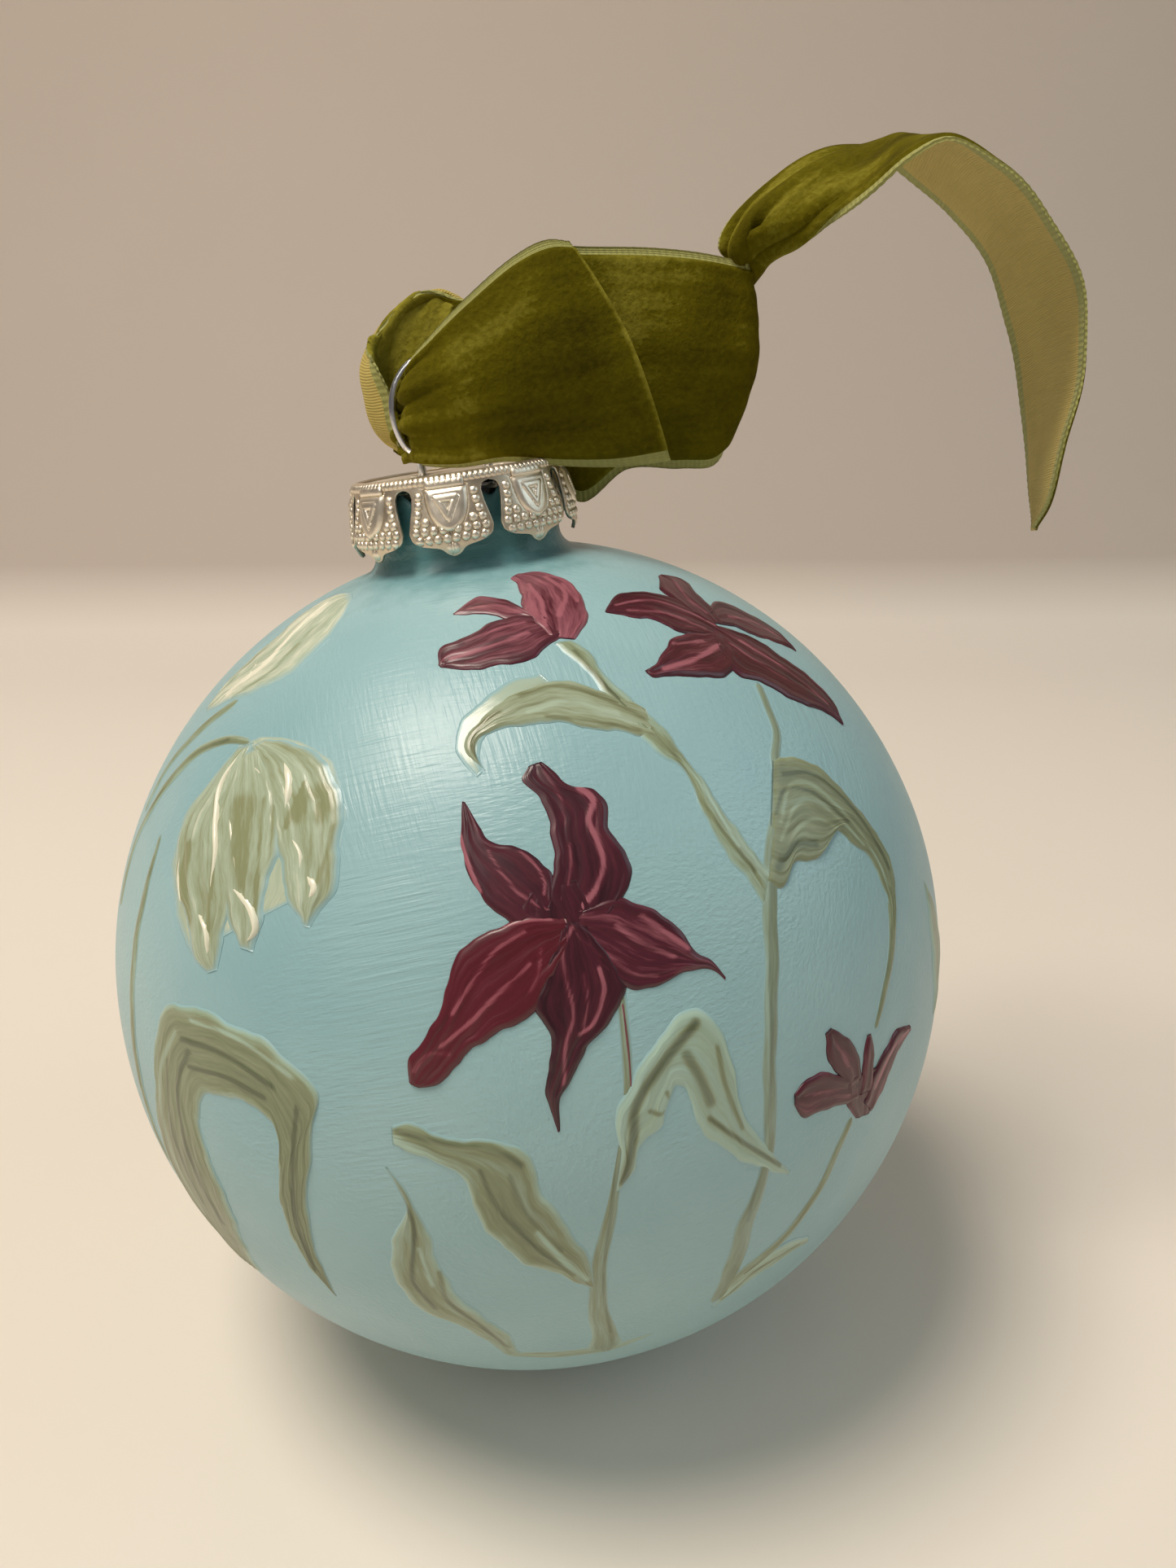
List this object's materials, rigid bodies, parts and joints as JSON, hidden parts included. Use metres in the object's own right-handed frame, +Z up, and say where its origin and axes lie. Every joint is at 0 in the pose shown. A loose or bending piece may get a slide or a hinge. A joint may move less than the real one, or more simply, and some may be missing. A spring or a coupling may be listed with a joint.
{
  "type": "glass ball ornament",
  "caption": "Hollow painted glass ball ornament with a stamped crown cap, a sprung wire hanger and a knotted velvet ribbon through its eye.",
  "frame": {"origin": "top of the opening in the hanger's eye, where a hook or thread bears", "axes": "+Z up along the ball's axis, -Y towards the front of the painting, +X towards the ribbon's long tail"},
  "size_m": [0.097, 0.08, 0.1083],
  "materials": {
    "glass": "clear blown glass, polished",
    "blue_paint": "sky-blue acrylic paint, satin, with crossed brush marks",
    "cap_metal": "bright silver-coloured stamped sheet, beaded",
    "hanger_wire": "bright drawn spring wire",
    "velvet": "olive velvet pile in front, flat khaki back, ribbed selvages"
  },
  "bodies": {
    "ball": {"glass_ball": "glass", "ground_coat": "blue_paint"},
    "cap": {"crown_cap": "cap_metal"},
    "hanger": {"wire_eye": "hanger_wire"},
    "left_leg": {"wire_leg_left": "hanger_wire"},
    "right_leg": {"wire_leg_right": "hanger_wire"},
    "ribbon_knot": {"ribbon_front_end": "velvet", "ribbon_eye_pass": "velvet", "ribbon_side_loop": "velvet", "ribbon_knot_back": "velvet"},
    "ribbon_tail": {"ribbon_tail_rise": "velvet", "ribbon_tail_curl": "velvet"}
  },
  "joints": [
    {"name": "cap_lift", "type": "slide", "parent": "ball", "child": "cap", "axis": [0, 0, 1], "range_m": [0, 0.022]},
    {"name": "hanger_slide", "type": "slide", "parent": "cap", "child": "hanger", "axis": [0, 0, 1], "range_m": [0, 0.002]},
    {"name": "left_leg_squeeze", "type": "hinge", "parent": "hanger", "child": "left_leg", "pos_m": [-0.003, 0, -0.01075], "axis": [0, -1, 0], "range_deg": [0, 21]},
    {"name": "right_leg_squeeze", "type": "hinge", "parent": "hanger", "child": "right_leg", "pos_m": [0.003, 0, -0.01075], "axis": [0, 1, 0], "range_deg": [0, 21]},
    {"name": "ribbon_swing", "type": "hinge", "parent": "hanger", "child": "ribbon_knot", "pos_m": [0, 0, -0.0041], "axis": [0, -1, 0], "range_deg": [0, 15]},
    {"name": "tail_bend", "type": "hinge", "parent": "ribbon_knot", "child": "ribbon_tail", "pos_m": [0.0288, 0, 0.0052], "axis": [0, -1, 0], "range_deg": [-20, 30]}
  ],
  "couplings": [
    {"joint": "left_leg_squeeze", "follows": "cap_lift", "rad_per_m": 16.5},
    {"joint": "right_leg_squeeze", "follows": "cap_lift", "rad_per_m": 16.5}
  ]
}
